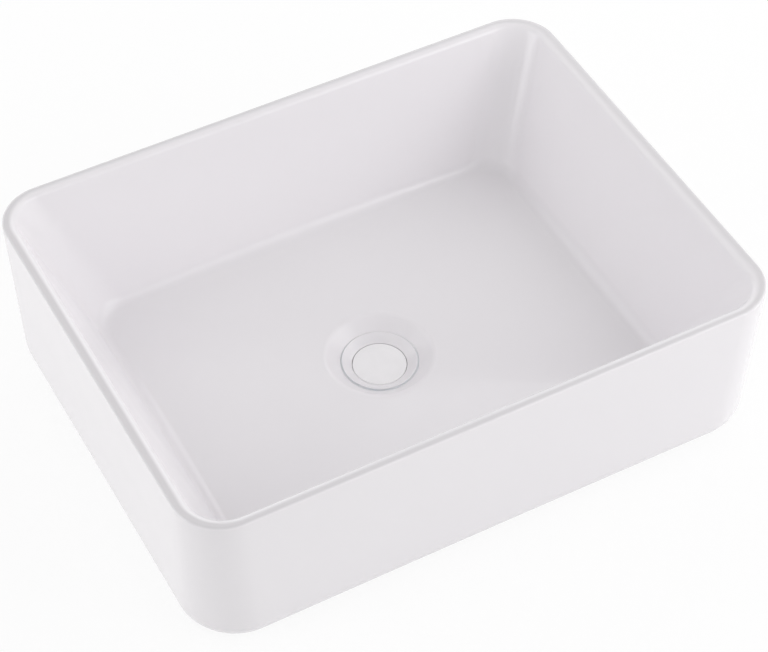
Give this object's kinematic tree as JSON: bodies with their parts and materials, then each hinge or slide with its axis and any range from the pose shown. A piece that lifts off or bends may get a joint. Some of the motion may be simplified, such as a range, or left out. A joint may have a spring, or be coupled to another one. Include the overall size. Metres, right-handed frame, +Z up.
{
  "type": "countertop washbasin",
  "caption": "White rectangular countertop washbasin with a thin rounded rim, sloping inner walls and a push-button drain plug; it stands on a counter over a cut-out for its waste.",
  "frame": {"origin": "middle of the foot's underside, level with the counter top that the basin stands on", "axes": "+X along the long side to the right, +Y towards the back wall, +Z up"},
  "size_m": [0.48, 0.368, 0.192],
  "materials": {
    "glaze": "white gloss glaze",
    "white_enamel": "white gloss coat on brass",
    "clear_rubber": "milky silicone",
    "black_rubber": "matt black rubber",
    "nylon": "natural white nylon",
    "cam_nylon": "grey moulded plastic",
    "brass": "turned brass",
    "spring_steel": "drawn stainless wire"
  },
  "bodies": {
    "basin": {"basin_bowl": "glaze", "waste_body": "white_enamel", "flange_seal": "clear_rubber", "under_seal": "black_rubber", "slip_washer": "nylon", "backnut": "brass", "cartridge_housing": "nylon", "cartridge_base": "nylon", "click_spring": "spring_steel"},
    "plug": {"plug_cap": "white_enamel", "plug_seal": "black_rubber", "plug_stem": "brass", "stem_locknut": "brass", "plunger": "cam_nylon"},
    "rotor": {"click_rotor": "cam_nylon"}
  },
  "joints": [
    {"name": "plug_slide", "type": "slide", "parent": "basin", "child": "plug", "axis": [0, 0, 1], "range_m": [0, 0.009], "deforming": ["click_spring"]},
    {"name": "rotor_turn", "type": "hinge", "parent": "plug", "child": "rotor", "pos_m": [0, 0, -0.025], "axis": [0, 0, 1], "range_deg": [0, 45]}
  ],
  "couplings": [
    {"joint": "rotor_turn", "follows": "plug_slide", "rad_per_m": 87.26}
  ]
}
